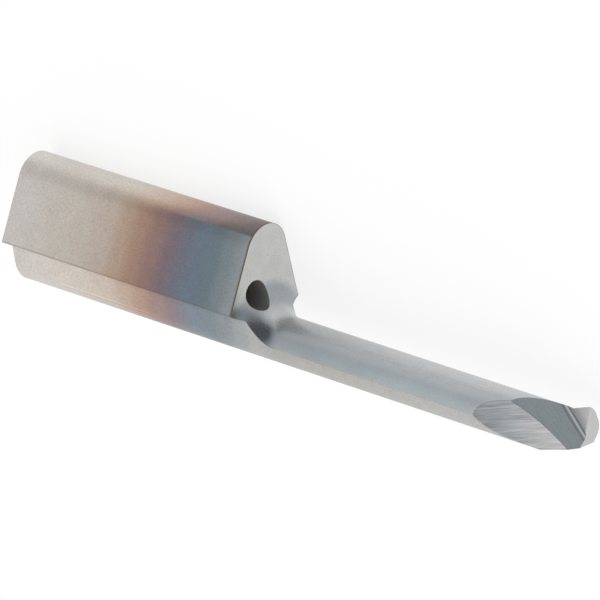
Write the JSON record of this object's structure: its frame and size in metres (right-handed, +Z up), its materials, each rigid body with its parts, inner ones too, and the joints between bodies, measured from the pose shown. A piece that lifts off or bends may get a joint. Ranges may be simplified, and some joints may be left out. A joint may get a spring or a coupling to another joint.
{
  "type": "boring bar",
  "caption": "One-piece carbide boring bar: teardrop clamping shank with a coolant hole, slim ground neck and a small side-cutting tip.",
  "frame": {"origin": "centre of the box's underside, with the bar lying on the flat flank behind the rake side", "axes": "+X along the bar towards the cutting corner, +Y towards the round crown of the shank, +Z up off the flank it lies on"},
  "size_m": [0.044, 0.008, 0.0058],
  "materials": {
    "boring_bar": "ground carbide with heat tints towards the front of the shank"
  },
  "bodies": {
    "root": {"boring_bar": "boring_bar"}
  },
  "joints": []
}
